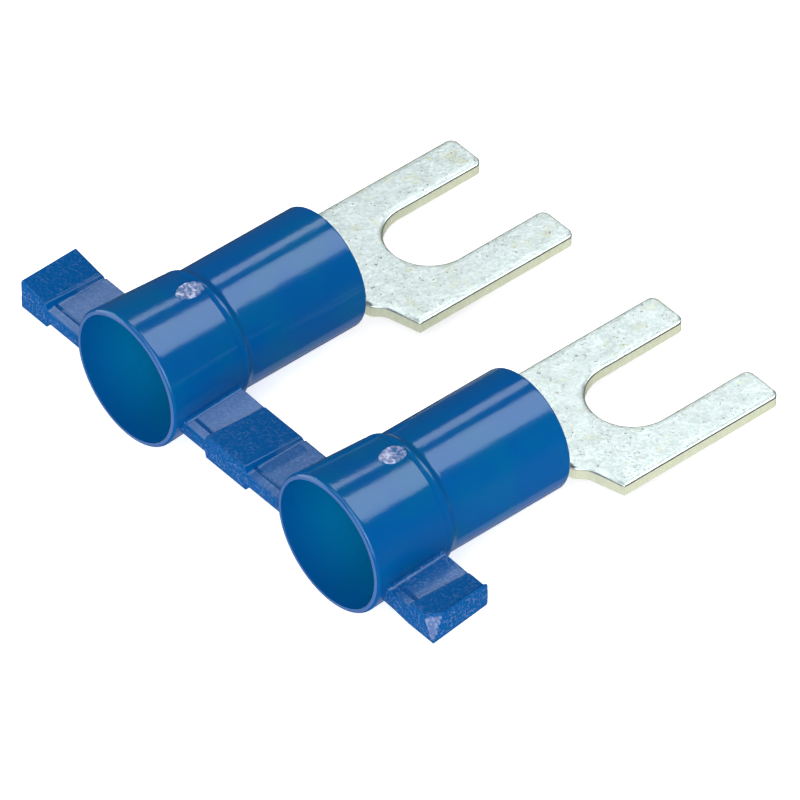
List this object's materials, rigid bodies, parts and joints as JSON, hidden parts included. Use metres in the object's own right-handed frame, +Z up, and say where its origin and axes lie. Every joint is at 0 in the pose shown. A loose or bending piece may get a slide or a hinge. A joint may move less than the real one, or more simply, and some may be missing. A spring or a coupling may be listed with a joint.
{
  "type": "insulated fork terminal",
  "caption": "Insulated crimp fork terminals joined by their moulded strip, with flared blue sleeves and flat tinned tongues slotted for a screw.",
  "frame": {"origin": "middle of the strip's outline on the surface it lies on, directly below the two sleeves' flared rims", "axes": "+X along the strip from terminal 1 to terminal 2, +Y along the sleeves from the wire end to the fork tips, +Z up, out of the tongues' top faces"},
  "size_m": [0.0262, 0.0208, 0.0063],
  "materials": {
    "sleeve_plastic": "glossy blue",
    "tinned_copper": "satin bright tin plate on copper"
  },
  "bodies": {
    "root": {"insulator_strip": "sleeve_plastic", "fork_terminal_1": "tinned_copper", "fork_terminal_2": "tinned_copper"}
  },
  "joints": []
}
